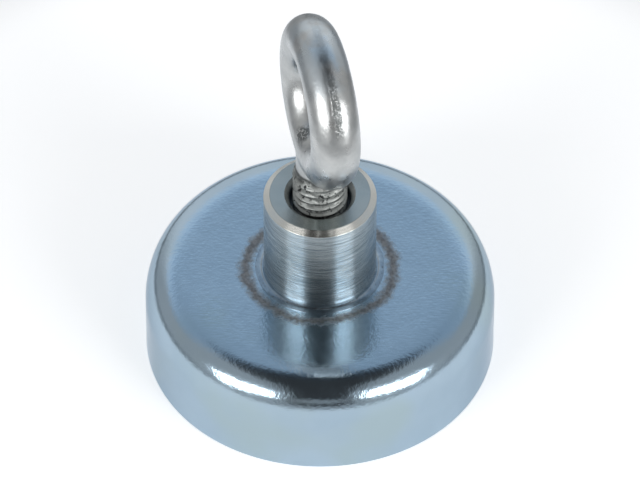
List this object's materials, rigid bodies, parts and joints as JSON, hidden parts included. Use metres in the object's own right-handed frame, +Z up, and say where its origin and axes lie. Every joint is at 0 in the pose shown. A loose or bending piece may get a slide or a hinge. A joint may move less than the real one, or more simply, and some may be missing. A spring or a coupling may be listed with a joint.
{
  "type": "magnet fishing magnet",
  "caption": "Round pot magnet in a zinc-plated steel cup, with a welded threaded bush and a screw-in eye bolt for a rope, used for magnet fishing.",
  "frame": {"origin": "centre of the magnetic face, in the plane of the pot's rim", "axes": "+Z up along the axis of the pot, bush and thread; the eye lies in the XZ plane at rest, so a rope passes through it along Y"},
  "size_m": [0.05, 0.05, 0.061],
  "materials": {
    "zinc_pot": "satin",
    "zinc_bush": "satin",
    "weld": "satin",
    "nickel": "polished",
    "resin": "satin",
    "adhesive": "matte",
    "zinc_eye": "satin"
  },
  "bodies": {
    "magnet_base": {"steel_pot": "zinc_pot", "threaded_bush": "zinc_bush", "weld_bead": "weld", "magnet_disc": "nickel", "potting_ring": "resin", "bond_layer": "adhesive"},
    "bolt_travel": {"bolt_tip": "zinc_eye"},
    "eye": {"eye_bolt": "zinc_eye"}
  },
  "joints": [
    {"name": "screw_travel", "type": "slide", "parent": "magnet_base", "child": "bolt_travel", "axis": [0, 0, 1], "range_m": [-0.00094, 0.01376]},
    {"name": "screw_turn", "type": "hinge", "parent": "bolt_travel", "child": "eye", "pos_m": [0, 0, 0.03], "axis": [0, 0, 1], "range_deg": [-270, 3960]}
  ],
  "couplings": [
    {"joint": "screw_travel", "follows": "screw_turn", "m_per_rad": 0.00019894}
  ]
}
